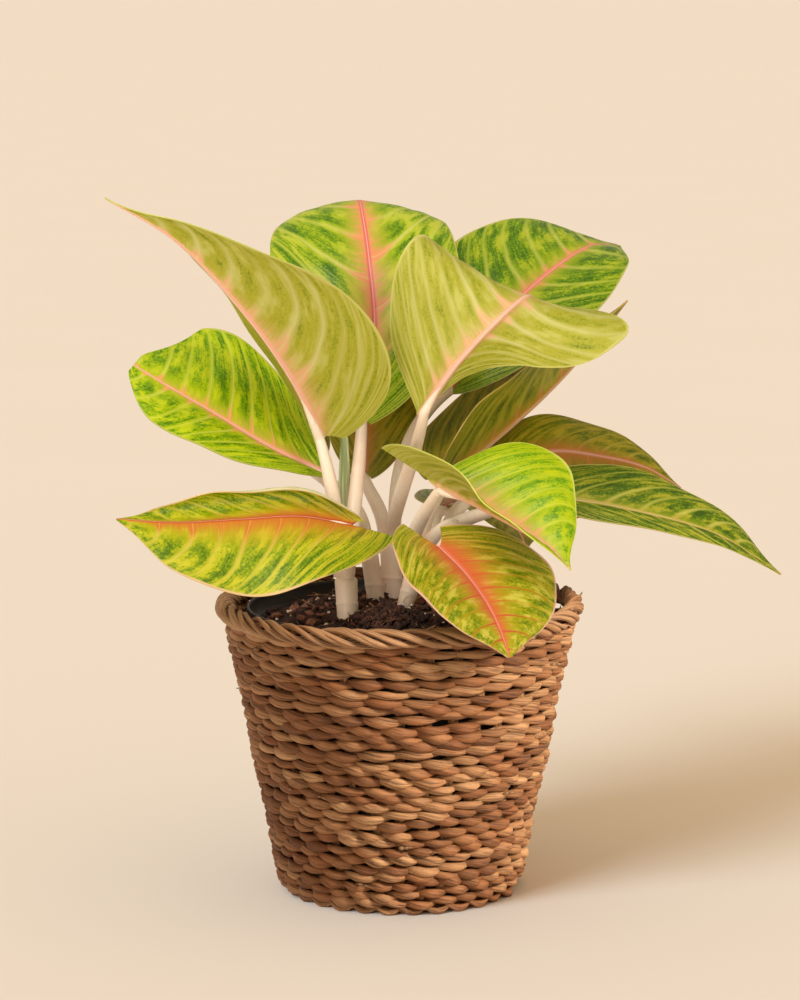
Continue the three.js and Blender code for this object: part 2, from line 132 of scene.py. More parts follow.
# Leaves, as in the solid model: rib is the midrib, face the way the upper side looks at base,
# middle and tip, half the widest half widths, left and right the degrees that each half rises,
# curl what each margin turns on, lobe how far the base reaches back, bulk where it is widest.
# above and below name the finishes of the two sides.
LEAVES = {
    "upper_left": dict(
        stem="left", seat=(-3.1, 0.3), knee=(-32, -20, 206), tuck=0.5,
        rib=[(-39, -14, 234), (-54, -30, 266), (-78, -48, 302), (-108, -62, 335), (-140, -70, 355)],
        face=[(0.5, 0.6, 0.6), (0.45, 0.7, 0.6), (0.5, 0.5, 0.6)],
        half=(50, 38), left=(30, 30, 20), right=(34, 38, 36), bulk=(0.6, 1.5), bulk_left=(0.62, 1.75),
        curl=[(0, -10, -20), (-10, -10, -10)], lobe=(5, 5), above="blotched", below="pale_back",
    ),
    "top_centre": dict(
        stem="left", seat=(1.6, 3), knee=(-20, -4, 216), tuck=-0.3,
        rib=[(-19, 12, 241), (-13, 18, 282), (-16, 36, 320), (-21, 76, 346), (-22, 120, 334),
             (-23, 146, 304)],
        face=[(0.1, -0.9, 0.3), (0.05, -0.7, 0.6), (0, 0.3, 1)],
        half=(50, 47), left=(20, -8, -12), right=(20, -5, -12), bulk=(0.72, 0.95),
        curl=[(-25, -30, -30), (-15, -25, -30)], lobe=(4, 4), above="pink_ribbed", below="pale_back",
    ),
    "right_front": dict(
        stem="centre", seat=(1, -3), knee=(8, -12, 222), tuck=-0.4,
        rib=[(12, -22, 248), (27, -32, 271), (47, -36, 293), (62, -22, 304), (69, 6, 298)],
        face=[(0, 0.9, 0.3), (-0.05, 0.92, -0.02), (-0.05, 0.08, -0.95)],
        half=(54, 57), left=(20, 15, 0), right=(20, 10, 0), bulk=(1.05, 0.9), bulk_left=(1.7, 0.2),
        curl=[(0, 0, 0), (0, 0, 0)], lobe=(4, 4), above="blotched", below="pale_back",
    ),
    "top_right": dict(
        stem="centre", seat=(2.4, 2.4), knee=(-4, 49, 230),
        rib=[(27, 42, 253), (52, 56, 286), (77, 76, 308), (101, 100, 321), (118, 124, 320)],
        face=[(-0.3, -0.8, 0.4), (-0.25, -0.85, 0.55), (-0.1, -0.5, 0.9)],
        half=(48, 38), left=(15, 10, 5), right=(15, 10, 5), bulk=(0.7, 0.8),
        curl=[(-10, -10, -10), (-25, -25, -25)], lobe=(4, 4), above="dark", below="olive_back",
    ),
    "right_folded": dict(
        stem="right", seat=(1.6, 2.8), knee=(13, 4, 192),
        rib=[(21, 2, 209), (47, 19, 227), (75, 32, 250), (99, 44, 274), (118, 54, 296)],
        face=[(-0.7, 0, 0.7), (-0.7, 0, 0.7), (-0.6, 0.1, 0.8)],
        half=(48, 42), left=(32, 32, 30), right=(34, 34, 30), bulk=(0.6, 1.2), bulk_left=(0.55, 1.2),
        curl=[(0, 0, 0), (-10, -10, -10)], lobe=(3, 3), above="warm", below="olive_back",
    ),
    "left_middle": dict(
        stem="middle", seat=(-2.2, -2.2), knee=(-32, 12, 200),
        rib=[(-39, -2, 214), (-65, -6, 227), (-95, -10, 246), (-118, -12, 260), (-133, -10, 269)],
        face=[(0.4, -0.6, 0.7), (0.48, -0.6, 0.7), (0.4, -0.5, 0.8)],
        half=(28, 50), left=(25, 12, -10), right=(15, 15, 5), bulk=(0.8, 0.42),
        curl=[(-20, -20, -10), (-10, -10, 0)], lobe=(4, 4), above="bright", below="olive_back",
    ),
    "lower_left": dict(
        stem="left", seat=(1.1, -3), knee=(-20, -36, 186), tuck=-0.25,
        rib=[(-24, -38, 193), (-49, -50, 199), (-78, -60, 199), (-109, -70, 199), (-136, -78, 202)],
        face=[(0, -0.5, 0.85), (0.1, -0.4, 0.9), (0.1, -0.4, 0.9)],
        half=(44, 25), left=(4, -20, -20), right=(0, -24, -28), bulk=(0.6, 0.95),
        bulk_left=(0.72, 0.95), curl=[(-25, -15, -10), (230, 200, 60)], lobe=(24, 8),
        above="orange_ribbed", below="cream_back",
    ),
    "front_small": dict(
        stem="right", seat=(2, -2.8), knee=(42, -4, 198),
        rib=[(19, -50, 184), (31, -64, 174), (42, -80, 161), (48, -92, 150), (52, -101, 139)],
        face=[(0.3, -0.5, 0.8), (0.33, -0.49, 0.81), (0.3, -0.6, 0.7)],
        half=(43, 38), left=(12, 10, 5), right=(12, 10, 5), bulk=(0.5, 0.85),
        curl=[(-10, -10, -10), (-10, -10, -10)], lobe=(12, 20), above="red_veined", below="pale_back",
    ),
    "front_right": dict(
        stem="right", seat=(-3.2, -0.4), knee=(10, -22, 192), tuck=0.8,
        rib=[(20, -35, 211), (38, -48, 204), (56, -62, 196), (71, -74, 188), (82, -82, 178)],
        face=[(0.5, 0.15, 0.85), (0.5, 0.15, 0.85), (0.5, 0, 0.85)],
        half=(47, 24), left=(76, 70, 62), right=(34, 0, 0), bulk=(0.45, 1), bulk_left=(0.8, 1.3),
        curl=[(-25, -30, -30), (30, 0, 0)], lobe=(6, 38), above="lime", below="pale_back",
    ),
    "right_back": dict(
        stem="back", seat=(3, 1.8), knee=(32, 20, 194), tuck=0.5,
        rib=[(46, 20, 212), (77, 24, 221), (103, 28, 218), (126, 30, 212), (145, 32, 201)],
        face=[(-0.2, -0.5, 0.8), (0, -0.5, 0.8), (0.3, -0.5, 0.8)],
        half=(25, 38), left=(15, 15, 10), right=(-20, -20, -10), bulk=(0.6, 1.2),
        curl=[(-20, -20, -20), (-25, -25, -25)], lobe=(4, 4), above="warm", below="olive_back",
    ),
    "far_right": dict(
        stem="back", seat=(0.4, -3), knee=(38, 4, 190),
        rib=[(58, -2, 200), (88, -4, 200), (122, -6, 194), (160, -8, 183), (192, -10, 163)],
        face=[(0, -0.5, 0.8), (0.1, -0.5, 0.8), (0.4, -0.4, 0.8)],
        half=(25, 14), left=(20, 20, 10), right=(10, 15, 10), bulk=(0.6, 1),
        curl=[(-20, -20, -20), (-30, -30, -30)], lobe=(3, 3), above="streaked", below="olive_back",
    ),
    "back_centre": dict(
        stem="centre", seat=(-3, 0.8), knee=(-16, 32, 196),
        rib=[(-19, 42, 208), (-18, 56, 236), (-14, 76, 258), (-12, 102, 272), (-12, 132, 270)],
        face=[(0, -0.9, 0.4), (0, -0.7, 0.7), (0, 0, 1)],
        half=(22, 28), left=(10, 8, 5), right=(10, 8, 5), bulk=(0.6, 1),
        curl=[(-15, -15, -15), (-15, -15, -15)], lobe=(4, 4), above="warm", below="olive_back",
    ),
    "back_left": dict(
        stem="middle", seat=(-1.2, 3.1), knee=(-24, 26, 198),
        rib=[(-48, 34, 214), (-64, 54, 232), (-84, 76, 243), (-102, 96, 244), (-116, 114, 236)],
        face=[(0.4, -0.5, 0.9), (0.3, -0.3, 0.9), (-0.2, 0.2, 0.9)],
        half=(31, 29), left=(10, 10, 5), right=(10, 10, 5), bulk=(0.6, 1),
        curl=[(-15, -15, -15), (-15, -15, -15)], lobe=(4, 4), above="warm", below="olive_back",
    ),
    "back_right": dict(
        stem="back", seat=(-2.6, 2), knee=(18, 34, 190),
        rib=[(24, 44, 190), (36, 64, 190), (50, 86, 184), (62, 106, 172), (70, 124, 154)],
        face=[(-0.3, -0.4, 0.9), (-0.2, -0.3, 0.9), (0.2, 0.3, 0.9)],
        half=(34, 34), left=(10, 10, 5), right=(10, 10, 5), bulk=(0.6, 1),
        curl=[(-15, -15, -15), (-15, -15, -15)], lobe=(4, 4), above="orange_ribbed",
        below="olive_back",
    ),
}


def unit(rows):
    return rows / np.maximum(np.linalg.norm(rows, axis=-1, keepdims=True), 1e-12)


def smooth(x, low, high):
    """0 below low, 1 above high, eased between."""
    s = np.clip((x - low) / (high - low), 0, 1)
    return s * s * (3 - 2 * s)


def spline(points):
    """Close samples of the centripetal spline through the points."""
    p = np.array(points, float)
    p = np.vstack([2 * p[0] - p[1], p, 2 * p[-1] - p[-2]])
    samples = []
    for k in range(1, len(p) - 2):
        a, b, c, d = p[k - 1:k + 3]
        ab, bc, cd = (np.linalg.norm(y - x) ** 0.5 for x, y in ((a, b), (b, c), (c, d)))
        leave = ((b - a) / ab - (c - a) / (ab + bc) + (c - b) / bc) * bc
        arrive = ((c - b) / bc - (d - b) / (bc + cd) + (d - c) / cd) * bc
        for s in np.linspace(0, 1, 60, endpoint=False):
            samples.append(
                b + leave * s + (3 * (c - b) - 2 * leave - arrive) * s**2
                + (2 * (b - c) + leave + arrive) * s**3
            )
    samples.append(p[-2])
    return np.array(samples)


def walk(samples, u):
    """Places and directions at the shares u of a sampled line's length."""
    steps = np.linalg.norm(np.diff(samples, axis=0), axis=1)
    reach = np.concatenate([[0], np.cumsum(steps)]) / steps.sum()
    spots = [
        np.stack([np.interp(np.clip(u + d, 0, 1), reach, samples[:, k]) for k in range(3)], -1)
        for d in (0, -0.006, 0.006)
    ]
    return spots[0], unit(spots[2] - spots[1])


def blend(rows, u):
    """Values of a short table at the shares u, with its corners rounded."""
    rows = np.array(rows, float)
    knots = np.linspace(0, 1, len(rows))
    reach = np.minimum(0.15, np.minimum(u, 1 - u))
    taps = (-1, -0.6, -0.2, 0.2, 0.6, 1)
    if rows.ndim == 1:
        return sum(np.interp(u + k * reach, knots, rows) for k in taps) / len(taps)
    parts = [sum(np.interp(u + k * reach, knots, c) for k in taps) / len(taps) for c in rows.T]
    return np.stack(parts, -1)


def deselect():
    for o in bpy.context.selected_objects:
        o.select_set(False)


def finished(piece, name, finish):
    """Names a piece, gives it its finish and seats it on the frame."""
    piece.name = piece.data.name = name
    piece.data.materials.append(finish)
    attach(piece, "root")
    return piece


def grid(columns, rows, place):
    """A grid primitive with each point moved to place(u, v), u and v from 0 to 1."""
    deselect()
    bpy.ops.mesh.primitive_grid_add(x_subdivisions=columns, y_subdivisions=rows, size=1)
    piece = bpy.context.object
    co = np.empty(len(piece.data.vertices) * 3)
    piece.data.vertices.foreach_get("co", co)
    co = co.reshape(-1, 3)
    spots = place(co[:, 0] + 0.5, co[:, 1] + 0.5) * MM
    piece.data.vertices.foreach_set("co", spots.ravel())
    piece.data.update()
    return piece


def close_up(piece):
    """Joins the seam and poles of a rolled grid and turns its faces outwards."""
    bpy.ops.object.mode_set(mode="EDIT")
    bpy.ops.mesh.select_all(action="SELECT")
    bpy.ops.mesh.remove_doubles(threshold=2e-6)
    bpy.ops.mesh.normals_make_consistent(inside=False)
    bpy.ops.object.mode_set(mode="OBJECT")
    bpy.ops.object.shade_smooth()
    return piece


def rod(columns, rows, samples, radius):
    """A closed tube along a sampled line; radius(u, v) may vary along and around it."""
    stations = np.linspace(0, 1, columns + 1)
    spots, ahead = walk(samples, stations)
    sides = [unit(np.cross(ahead[0], (0.3, 0.9, 0.2)))]
    for d in ahead[1:]:
        sides.append(unit(sides[-1] - d * sides[-1].dot(d)))
    sides = np.array(sides)
    ups = np.cross(ahead, sides)

    def place(u, v):
        k = np.rint(u * columns).astype(int)
        r = radius(u, v) * ((k > 0) & (k < columns))
        a = TURN * v
        return spots[k] + (r * np.cos(a))[:, None] * sides[k] + (r * np.sin(a))[:, None] * ups[k]

    return close_up(grid(columns, rows, place))


def turned(columns, rows, profile, bumps=None):
    """A closed body turned about Z from a profile of radius and height."""
    line = np.array(profile, float)
    steps = np.linalg.norm(np.diff(line, axis=0), axis=1)
    reach = np.concatenate([[0], np.cumsum(steps)]) / steps.sum()
    between = np.linspace(0, 1, columns + 3 - len(reach))[1:-1]
    stations = np.sort(np.concatenate([reach, between]))

    def place(u, v):
        k = np.rint(u * columns).astype(int)
        r = np.interp(stations[k], reach, line[:, 0])
        z = np.interp(stations[k], reach, line[:, 1])
        a = TURN * v
        spots = np.stack([r * np.cos(a), r * np.sin(a), z], -1)
        return spots if bumps is None else bumps(spots)

    return close_up(grid(columns, rows, place))


def joined(pieces):
    """One mesh of several pieces."""
    deselect()
    for p in pieces:
        p.select_set(True)
    bpy.context.view_layer.objects.active = pieces[0]
    bpy.ops.object.join()
    return bpy.context.object


def scattered(pattern, moves):
    """Copies of a small piece, one for each matrix, as one mesh."""
    copies = []
    for move in moves:
        copy = pattern.copy()
        copy.data = pattern.data.copy()
        copy.data.transform(move)
        bpy.context.collection.objects.link(copy)
        copies.append(copy)
    bpy.data.objects.remove(pattern)
    return joined(copies)


# Finishes

TIMES_PLUS = dict(operation="MULTIPLY_ADD")
RUSH_TONES = ("#A06A3E", "#D0A070", "#74441F", "#9C5A2A", "#3E210E")
RIM_TONES = ("#A9764A", "#D8AE82", "#7C4C28", "#A0663A", "#44260F")

# Skins of the blades: the colours of ground, pale streaks, blotches, flush, side veins, midrib
# and margin; the share of blotches; how far the flush reaches from the midrib, as a share of the
# half width; the strength of the side veins; and how far a side vein fades out, as a share of
# the distance to the next.
SKINS = {
    "bright": ("#A0B606 #BCC81C #528A06 #E39A62 #CCD256 #E9A48E #B6BC50", 0.5, 0.13, 0.75, 0.14),
    "lime": ("#A0B606 #B8C20C #5C9406 #E6A064 #C6D040 #E9A48E #C4CC58", 0.42, 0.2, 0.7, 0.14),
    "blotched": ("#98A812 #B7BE34 #4A7A08 #E09868 #CACC66 #E69684 #B8BC5C", 0.5, 0.12, 0.75, 0.14),
    "pink_ribbed": ("#9CB20C #BEC63A #488006 #E89068 #D0D26C #DE6E66 #C0B858", 0.5, 0.17, 0.75, 0.14),
    "dark": ("#8CA20C #AAB428 #42760A #D98C5E #C6CA6C #E07C6E #B4B460", 0.6, 0.12, 0.8, 0.14),
    "streaked": ("#7E8E10 #A8A42C #3C640A #A89A30 #C2BC5C #B8A64A #C0B660", 0.62, 0.05, 0.8, 0.14),
    "orange_ribbed": ("#A8AC0A #C2BE28 #548206 #C8702C #CCBE56 #BE5426 #D4B47C", 0.55, 0.36, 0.75, 0.14),
    "red_veined": ("#A69E0E #C8C04C #5E8008 #CE6038 #B4461E #D66E52 #E2B49A", 0.5, 0.36, 1.0, 0.09),
    "warm": ("#8A8210 #A49424 #546808 #B87034 #B4A644 #C98A6A #B89E50", 0.5, 0.26, 0.7, 0.14),
    "pale_back": ("#A8A530 #BAB95E #8A961E #DCA87C #CCCA84 #E6AE94 #C4C068", 0.36, 0.12, 0.75, 0.24),
    "cream_back": ("#D0CC9C #DEDAB8 #B8BC78 #DCC496 #E2DEC0 #E0C0A0 #DCD8A8", 0.3, 0.1, 0.7, 0.24),
    "olive_back": ("#888A14 #A09A28 #5C6C0C #B07C30 #B4AC46 #C49A70 #B8B450", 0.5, 0.14, 0.6, 0.24),
}


def colour(code):
    """Linear colour of an sRGB hex value."""
    parts = [int(code[k:k + 2], 16) / 255 for k in (1, 3, 5)]
    return [c / 12.92 if c <= 0.04045 else ((c + 0.055) / 1.055) ** 2.4 for c in parts] + [1]


def dimmed(tint, share):
    """A linear colour at a share of its brightness."""
    return [c * share for c in tint[:3]] + [1]


def output(source):
    """The first output of a node; anything else as it is."""
    return source.outputs[0] if isinstance(source, bpy.types.Node) else source


def add(finish, kind, links=None, **settings):
    """Adds a node. links pair its inputs, by name or number, with values, nodes or outputs."""
    node = finish.node_tree.nodes.new("ShaderNode" + kind)
    for key, value in settings.items():
        setattr(node, key, value)
    for key, value in (links or {}).items():
        value = output(value)
        if isinstance(value, bpy.types.NodeSocket):
            finish.node_tree.links.new(value, node.inputs[key])
        else:
            node.inputs[key].default_value = value
    return node


def new_finish(name, **values):
    """A finish with the given values on its shader, and the shader."""
    finish = bpy.data.materials.new(name)
    finish.use_nodes = True
    shader = finish.node_tree.nodes["Principled BSDF"]
    for key, value in values.items():
        shader.inputs[key.replace("_", " ")].default_value = value
    return finish, shader


def wire(finish, shader, **sources):
    """Links inputs of a shader to nodes or outputs."""
    for key, source in sources.items():
        finish.node_tree.links.new(output(source), shader.inputs[key.replace("_", " ")])


def clouds(finish, where, scale, detail, rough=0.5, **settings):
    """Smooth noise."""
    values = {"Vector": where, "Scale": scale, "Detail": detail, "Roughness": rough}
    return add(finish, "TexNoise", values, **settings)


def stretched(finish, where, scale):
    """Places scaled on each axis."""
    return add(finish, "Mapping", {"Vector": where, "Scale": scale})


def ramp(finish, value, low=0, high=1, start=0, end=1, kind="LINEAR"):
    """Takes a value from low and high to start and end, and no further."""
    ranges = {0: value, 1: low, 2: high, 3: start, 4: end}
    return add(finish, "MapRange", ranges, interpolation_type=kind)


def ease(*values, **ends):
    """The same, eased at both ends."""
    return ramp(*values, **ends, kind="SMOOTHSTEP")


def times(finish, first, second):
    return add(finish, "Math", {0: first, 1: second}, operation="MULTIPLY")


def layered(finish, shade, layers):
    """A colour with others laid over it, each with its share. A Mix takes its two colours at
    inputs 6 and 7 and gives the mixed one at output 2."""
    for share, tint in layers:
        tint = colour(tint) if isinstance(tint, str) else tint
        mix = add(finish, "Mix", {0: share, 6: shade, 7: tint}, data_type="RGBA")
        shade = mix.outputs[2]
    return shade


def own_place(finish):
    """Where a point lies on its piece, in metres."""
    return add(finish, "TexCoord").outputs["Object"]


def bump(finish, height, strength, distance):
    """Fine relief too small for the mesh, its depth in metres."""
    values = {"Strength": strength, "Distance": distance, "Height": height}
    return add(finish, "Bump", values)


def blade_finish(name, tones, cover, spread, vein_share, wide):
    """Waxy skin of one side of a blade, glossy above and matt below: lime to deep green between
    paler side veins, with a coral flush along the midrib."""
    below = name.endswith("_back")
    skin, shader = new_finish(f"leaf_{name}", Roughness=0.5 if below else 0.38,
                              Specular_IOR_Level=0.25, Coat_Weight=0.0 if below else 0.06,
                              Coat_Roughness=0.3)
    ground, pale, blotch, flush, vein, midrib, margin = (colour(code) for code in tones.split())
    veins = add(skin, "UVMap", uv_map="veins")
    lie = add(skin, "SeparateXYZ", {0: add(skin, "UVMap", uv_map="UVMap")})
    along, aside = lie.outputs[0], lie.outputs[1]
    where = own_place(skin)
    # slow wander of the veins, about 30 mm long
    drift = clouds(skin, where, 32, 1, normalize=False)
    bent = add(skin, "VectorMath", {0: drift.outputs["Color"], 1: (0.16, 0.03, 0), 2: veins},
               **TIMES_PLUS)
    parts = add(skin, "SeparateXYZ", {0: bent})
    phase, across = parts.outputs[0], parts.outputs[1]
    out = add(skin, "Math", {0: across}, operation="ABSOLUTE")
    fold = add(skin, "Math", {0: phase, 1: 0.5}, operation="PINGPONG")
    # each side vein has its own strength and fades outwards
    number = add(skin, "Math", {0: phase}, operation="ROUND")
    own = add(skin, "TexWhiteNoise", {"W": number}, noise_dimensions="1D")
    own = ease(skin, own, start=0.35)
    fade = ease(skin, out, start=1, end=0.45)
    strength = times(skin, own, fade)
    near = ease(skin, fold, 0, wide, 1, 0)
    on_vein = times(skin, near, strength)
    near = ease(skin, fold, wide * 0.06, wide * 0.3, 1, 0)
    core = times(skin, near, strength)
    between = ease(skin, fold, 0.02, wide + 0.06, 0.1)
    # streaks of about 1.5 mm along the side veins
    drawn = stretched(skin, bent, (8, 1.2, 1))
    streak = clouds(skin, drawn, 1.4, 4, 0.6)
    # patches drawn out along the veins, their edges broken by the streaks and a 1 mm stipple
    drawn = stretched(skin, bent, (1.3, 2.2, 1))
    patch = clouds(skin, drawn, 1.5, 3, 0.6)
    dots = clouds(skin, where, 800, 3, 0.65)
    broken = add(skin, "Math", {0: streak, 1: 0.45, 2: patch}, **TIMES_PLUS)
    broken = add(skin, "Math", {0: dots, 1: 0.6, 2: broken}, **TIMES_PLUS)
    level = 1.025 + (0.5 - cover) * 0.4
    off_rib = ease(skin, out, spread * 0.45, spread + 0.2)
    off_rib = times(skin, off_rib, between)
    dark = ease(skin, broken, level - 0.06, level + 0.08, 0, 0.75)
    dark = times(skin, dark, off_rib)
    deep = ease(skin, broken, level + 0.08, level + 0.2, 0, 0.65)
    deep = times(skin, deep, off_rib)
    light = ease(skin, patch, 0.52, 0.34, 0, 0.9)
    lines = ease(skin, streak, 0.52, 0.72, 0, 0.55)
    # the flush runs out along the side veins and fades towards the tip
    ragged = add(skin, "Math", {0: on_vein, 1: -0.2, 2: out}, **TIMES_PLUS)
    ragged = add(skin, "Math", {0: streak, 1: 0.3, 2: ragged}, **TIMES_PLUS)
    ragged = add(skin, "Math", {0: ragged, 1: -0.1}, operation="ADD")
    taper = ramp(skin, along, start=0.75, end=2.2)
    ragged = times(skin, ragged, taper)
    warm = ease(skin, ragged, spread * 0.2, spread + 0.06, 0.95, 0)
    haze = ease(skin, ragged, spread * 0.4, spread * 1.7 + 0.14, 0.45, 0)
    # midrib, 2.1 mm each side at the base and 0.5 at the tip, with a painted highlight along its middle
    aside = add(skin, "Math", {0: aside, 1: 0.5}, operation="SUBTRACT")
    aside = add(skin, "Math", {0: aside}, operation="ABSOLUTE")
    broad = ramp(skin, along, start=0.0105, end=0.0025)
    offset = add(skin, "Math", {0: aside, 1: broad}, operation="DIVIDE")
    line = ease(skin, offset, 0.55, 1.15, 1, 0)
    glint = ease(skin, offset, 0.05, 0.28, 0.45, 0)
    rim = ease(skin, out, 0.965, 0.99)
    veined = times(skin, on_vein, vein_share)
    cored = times(skin, core, vein_share * 0.5)
    # glint with #F6DCCB is a painted highlight along the midrib
    layers = ((light, pale), (lines, pale), (dark, blotch), (deep, dimmed(blotch, 0.42)),
              (veined, vein), (haze, flush), (warm, flush), (cored, vein), (line, midrib),
              (glint, "#F6DCCB"), (rim, margin))
    height = add(skin, "Math", {0: core, 1: -0.6, 2: streak}, **TIMES_PLUS)
    wire(skin, shader, Base_Color=layered(skin, ground, layers),
         Normal=bump(skin, height, 0.4, 0.0004))
    return skin


def make_stalk_finish():
    """Fleshy pale leaf stalk: cream, rosy in places, with fine lengthwise streaks."""
    skin, shader = new_finish("fleshy_stalk", Roughness=0.42, Coat_Weight=0.1, Coat_Roughness=0.3)
    where = own_place(skin)
    # rosy stretches of 45 mm, streaks 1 mm wide, brown specks of 1 to 3 mm
    slow = clouds(skin, where, 22, 2)
    drawn = stretched(skin, where, (1, 1, 0.06))
    streak = clouds(skin, drawn, 900, 3)
    drawn = stretched(skin, where, (1, 1, 0.3))
    speck = clouds(skin, drawn, 320, 4)
    rosy = ramp(skin, slow, 0.4, 0.65)
    lines = ramp(skin, streak, 0.35, 0.7, 0, 0.5)
    brown = ramp(skin, speck, 0.7, 0.76, 0, 0.8)
    layers = ((rosy, "#F0D2BC"), (lines, "#E8D4B8"), (brown, "#B5713F"))
    wire(skin, shader, Base_Color=layered(skin, colour("#FAEDDA"), layers),
         Normal=bump(skin, streak, 0.3, 0.0002))
    return skin


def make_new_leaf_finish():
    """Young blade still rolled: grey-green with pale stripes along it, cream at its foot."""
    skin, shader = new_finish("rolled_leaf", Roughness=0.4, Coat_Weight=0.15, Coat_Roughness=0.3)
    own = add(skin, "UVMap", uv_map="UVMap")
    drawn = stretched(skin, own, (3, 11, 1))
    band = clouds(skin, drawn, 1, 3)
    stripe = ease(skin, band, 0.42, 0.58)
    height = add(skin, "SeparateXYZ", {0: own})
    low = ease(skin, height, 0.55, 0.35)
    layers = ((stripe, "#C6CCA0"), (low, "#EBD9BE"))
    wire(skin, shader, Base_Color=layered(skin, colour("#8B9B60"), layers),
         Normal=bump(skin, band, 0.3, 0.0003))
    return skin


def rush_finish(name, length, tones):
    """Dried rush, twisted by hand: each stitch its own straw brown, dull, with lengthwise
    fibres. length counts the stitches along the piece's own map."""
    straw, shader = new_finish(name, Roughness=0.6)
    own = add(straw, "UVMap", uv_map="UVMap")
    counted = stretched(straw, own, (length, 1, 1))
    parts = add(straw, "SeparateXYZ", {0: counted})
    along, around = parts.outputs[0], parts.outputs[1]
    number = add(straw, "Math", {0: along}, operation="FLOOR")
    stitch = add(straw, "TexWhiteNoise", {"W": number}, noise_dimensions="1D")
    # eleven fibres round the rush, running along it and turning about it
    around = add(straw, "Math", {0: along, 1: 0.35, 2: around}, **TIMES_PLUS)
    around = times(straw, around, 11)
    drawn = add(straw, "CombineXYZ", {0: along, 1: around, 2: number})
    fibre = clouds(straw, drawn, 1, 4, 0.65)
    # ruddy patches of about 17 mm
    where = own_place(straw)
    slow = clouds(straw, where, 60, 3)
    light = ramp(straw, stitch, 0.35, 1, 0, 0.9)
    deep = ramp(straw, stitch, 0.3, 0, 0, 0.8)
    ruddy = ramp(straw, slow, 0.45, 0.7, 0, 0.55)
    lines = ramp(straw, fibre, 0.54, 0.3, 0, 0.95)
    layers = zip((light, deep, ruddy, lines), tones[1:])
    wire(straw, shader, Base_Color=layered(straw, colour(tones[0]), layers),
         Normal=bump(straw, fibre, 1.0, 0.001))
    return straw


def make_soil_finish():
    """Peat and bark: nearly black brown crumbs of 2 mm, dull, damp in patches."""
    earth, shader = new_finish("peat_soil", Roughness=0.92)
    where = own_place(earth)
    crumb = clouds(earth, where, 420, 5, 0.7)
    slow = clouds(earth, where, 70, 2)
    light = ramp(earth, crumb, 0.5, 0.72)
    damp = ramp(earth, slow, 0.4, 0.65, 0, 0.7)
    layers = ((light, "#7A4A36"), (damp, "#20110C"))
    wire(earth, shader, Base_Color=layered(earth, colour("#3A2018"), layers),
         Normal=bump(earth, crumb, 0.9, 0.0012))
    return earth


def make_pot_finish():
    """Blow-moulded black polypropylene, slightly dusty in patches of 8 mm."""
    plastic, shader = new_finish("black_nursery_plastic", IOR=1.49)
    where = own_place(plastic)
    dust = clouds(plastic, where, 120, 4)
    share = ramp(plastic, dust, 0.5, 0.8, 0, 0.5)
    matt = ramp(plastic, dust, start=0.35, end=0.6)
    shade = layered(plastic, colour("#191614"), [(share, "#3B2F28")])
    wire(plastic, shader, Base_Color=shade, Roughness=matt)
    return plastic


def speckled_finish(name, tones, scale):
    """A dull crumb of mineral, bark or dry fibre in two tones."""
    crumb, shader = new_finish(name, Roughness=0.85)
    where = own_place(crumb)
    spots = clouds(crumb, where, scale, 3)
    share = ramp(crumb, spots, 0.4, 0.6)
    wire(crumb, shader, Base_Color=layered(crumb, colour(tones[0]), [(share, tones[1])]),
         Normal=bump(crumb, spots, 0.5, 0.0004))
    return crumb


BLADES = {name: blade_finish(name, *values) for name, values in SKINS.items()}
STALK = make_stalk_finish()


# Leaves


def outline(u, bulk):
    """Width of a blade along the midrib, 1 at its widest."""
    early, late = bulk
    widest = early / (early + late)
    peak = widest**early * (1 - widest) ** late
    point = 1 - 0.4 * smooth(u, 0.8, 1)
    return point * (u * 0.992 + 0.008) ** early * (1.008 - u) ** late / peak


def blade_points(leaf, samples, u, t):
    """Places on a blade: u along the midrib, t from -1 at the left margin to 1 at the right."""
    spots, ahead = walk(samples, u)
    face = blend(leaf["face"], u)
    face = unit(face - ahead * np.sum(face * ahead, -1, keepdims=True))
    across = np.cross(ahead, face)
    right = t >= 0
    width = np.where(
        right,
        leaf["half"][1] * outline(u, leaf["bulk"]),
        leaf["half"][0] * outline(u, leaf.get("bulk_left", leaf["bulk"])),
    )
    lift = np.where(right, blend(leaf["right"], u), blend(leaf["left"], u))
    curl = np.where(right, blend(leaf["curl"][1], u), blend(leaf["curl"][0], u))
    s = np.abs(t)
    for k in range(CURL_STEPS):
        angle = np.radians(lift + curl * (s * (k + 0.5) / CURL_STEPS) ** 2)
        reach = s * width / CURL_STEPS
        spots = spots + (np.where(right, 1, -1) * np.cos(angle) * reach)[:, None] * across
        spots = spots + (np.sin(angle) * reach)[:, None] * face
    lobe = np.where(right, leaf["lobe"][1], leaf["lobe"][0])
    back = lobe * np.maximum(0, 1 - u / 0.4) ** 2 * s**1.5
    return spots - back[:, None] * ahead, width


def raise_midrib(mesh, normal, u, aside):
    """A round ridge along the underside of a blade and a shallow channel along the upper side."""
    total = len(normal)
    co = np.empty(len(mesh.vertices) * 3)
    mesh.vertices.foreach_get("co", co)
    co = co.reshape(-1, 3)
    ridge = RIDGE * (1 - u) ** 0.8 + 0.3
    height = np.sqrt(np.maximum(0, 1 - (aside / ridge) ** 2)) * ridge * 0.75
    channel = CHANNEL * np.exp(-((aside / 1.3) ** 2)) * (1 - u)
    co[:total] -= normal * (channel * MM)[:, None]
    co[total:2 * total] -= normal * (height * MM)[:, None]
    mesh.vertices.foreach_set("co", co.ravel())
    mesh.update()


